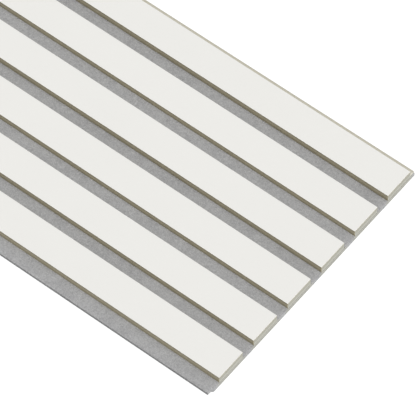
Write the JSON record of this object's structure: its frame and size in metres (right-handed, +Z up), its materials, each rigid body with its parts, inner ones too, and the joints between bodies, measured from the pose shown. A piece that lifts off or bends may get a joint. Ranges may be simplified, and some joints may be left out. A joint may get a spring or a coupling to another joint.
{
  "type": "acoustic panel",
  "caption": "Long slatted acoustic wall panel: white-faced MDF slats on a grey felt backing, with a felt flap along one long edge and a rebated ledge along the other.",
  "frame": {"origin": "under the middle of the panel, on the back face of the felt", "axes": "+X along the slats towards the end that the picture shows, +Y across them towards the rebated ledge, +Z up out of the white faces"},
  "size_m": [1.2, 0.244, 0.0096],
  "materials": {
    "felt": "needle-punched grey felt",
    "mdf": "bare sawn MDF",
    "white_laminate": "matt off-white laminate"
  },
  "bodies": {
    "root": {"felt_backing": "felt", "slat_core_1": "mdf", "slat_core_2": "mdf", "slat_core_3": "mdf", "slat_core_4": "mdf", "slat_core_5": "mdf", "slat_core_6": "mdf", "slat_facing_1": "white_laminate", "slat_facing_2": "white_laminate", "slat_facing_3": "white_laminate", "slat_facing_4": "white_laminate", "slat_facing_5": "white_laminate", "slat_facing_6": "white_laminate"}
  },
  "joints": []
}
